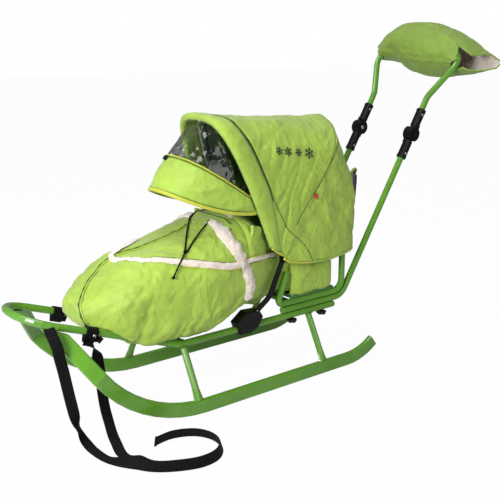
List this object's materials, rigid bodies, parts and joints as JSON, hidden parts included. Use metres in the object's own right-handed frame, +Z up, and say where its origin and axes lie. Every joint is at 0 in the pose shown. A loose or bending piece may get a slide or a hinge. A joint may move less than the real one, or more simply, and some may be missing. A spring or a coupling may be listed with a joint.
{
  "type": "sled stroller",
  "caption": "Child's push sled: bent steel tube frame on two runners, folding push handle with a hand muff, padded foot bag, folding hood with a tilting visor, and a tow strap.",
  "frame": {"origin": "centre of the whole sled's box, at the floor under the runners", "axes": "+X to the sled's left, +Y to its back towards the push handle, +Z up"},
  "size_m": [0.7037, 1.6098, 1.0305],
  "materials": {
    "frame_paint": "gloss powder coat",
    "green_cloth": "woven polyester, slightly shiny",
    "dark_lining": "quilted lining",
    "black_plastic": "moulded, satin",
    "black_webbing": "ribbed webbing",
    "clear_sheet": "clear flexible vinyl",
    "mesh_cloth": "black net",
    "painted_board": "painted plywood"
  },
  "bodies": {
    "frame": {"back_cushion": "dark_lining", "backrest_tube": "frame_paint", "canopy_clamp_left": "black_plastic", "canopy_clamp_right": "black_plastic", "canopy_stay_left": "black_plastic", "canopy_stay_right": "black_plastic", "cross_tube_front": "frame_paint", "cross_tube_rear": "frame_paint", "drawcord_long": "black_webbing", "drawcord_short": "black_webbing", "footmuff": "green_cloth", "hood_back": "green_cloth", "hood_hub_left": "black_plastic", "hood_hub_right": "black_plastic", "hood_rear_bow": "black_plastic", "leg_front_left": "frame_paint", "leg_front_right": "frame_paint", "leg_rear_left": "frame_paint", "leg_rear_right": "frame_paint", "lower_socket_left": "black_plastic", "lower_socket_right": "black_plastic", "pusher_tube_left": "frame_paint", "pusher_tube_right": "frame_paint", "rail_end_plug_left": "black_plastic", "rail_end_plug_right": "black_plastic", "rear_pocket": "mesh_cloth", "runner_left": "frame_paint", "runner_right": "frame_paint", "seat_board": "painted_board", "seat_liner": "dark_lining", "seat_rail_tube": "frame_paint", "tow_strap_left": "black_webbing", "tow_strap_right": "black_webbing", "webbing_loop_left": "black_webbing", "webbing_loop_right": "black_webbing"},
    "handle": {"handle_tube": "frame_paint", "upper_socket_left": "black_plastic", "upper_socket_right": "black_plastic", "hand_muff": "green_cloth"},
    "hood_front": {"hood_rim": "green_cloth", "hood_canopy": "green_cloth", "hood_front_bow": "black_plastic"},
    "visor": {"visor_panel": "green_cloth", "visor_window": "clear_sheet", "visor_snap": "black_plastic"},
    "clamp_knob_front_left": {"clamp_knob_front_left": "black_plastic"},
    "clamp_knob_front_right": {"clamp_knob_front_right": "black_plastic"},
    "clamp_knob_rear_left": {"clamp_knob_rear_left": "black_plastic"},
    "clamp_knob_rear_right": {"clamp_knob_rear_right": "black_plastic"},
    "lock_button_left": {"lock_button_left": "black_plastic"},
    "lock_button_right": {"lock_button_right": "black_plastic"}
  },
  "joints": [
    {"name": "handle_fold", "type": "hinge", "parent": "frame", "child": "handle", "pos_m": [0, 0.5194, 0.684], "axis": [-1, 0, 0], "range_deg": [0, 110]},
    {"name": "hood_fold", "type": "hinge", "parent": "frame", "child": "hood_front", "pos_m": [0, -0.0176, 0.37], "axis": [-1, 0, 0], "range_deg": [0, 42], "deforming": ["hood_canopy"]},
    {"name": "visor_tilt", "type": "hinge", "parent": "hood_front", "child": "visor", "pos_m": [0, -0.1326, 0.535], "axis": [-1, 0, 0], "range_deg": [0, 25], "deforming": ["visor_window"]},
    {"name": "lock_button_press_left", "type": "slide", "parent": "handle", "child": "lock_button_left", "axis": [-1, 0, 0], "range_m": [0, 0.003], "stiffness_N_per_m": 800},
    {"name": "clamp_knob_turn_front_left", "type": "hinge", "parent": "frame", "child": "clamp_knob_front_left", "pos_m": [0.116, 0.0274, 0.17], "axis": [0, 0, 1], "continuous": true},
    {"name": "clamp_knob_turn_rear_left", "type": "hinge", "parent": "frame", "child": "clamp_knob_rear_left", "pos_m": [0.116, 0.1474, 0.17], "axis": [0, 0, 1], "continuous": true},
    {"name": "lock_button_press_right", "type": "slide", "parent": "handle", "child": "lock_button_right", "axis": [1, 0, 0], "range_m": [0, 0.003], "stiffness_N_per_m": 800},
    {"name": "clamp_knob_turn_front_right", "type": "hinge", "parent": "frame", "child": "clamp_knob_front_right", "pos_m": [-0.116, 0.0274, 0.17], "axis": [0, 0, 1], "continuous": true},
    {"name": "clamp_knob_turn_rear_right", "type": "hinge", "parent": "frame", "child": "clamp_knob_rear_right", "pos_m": [-0.116, 0.1474, 0.17], "axis": [0, 0, 1], "continuous": true}
  ]
}
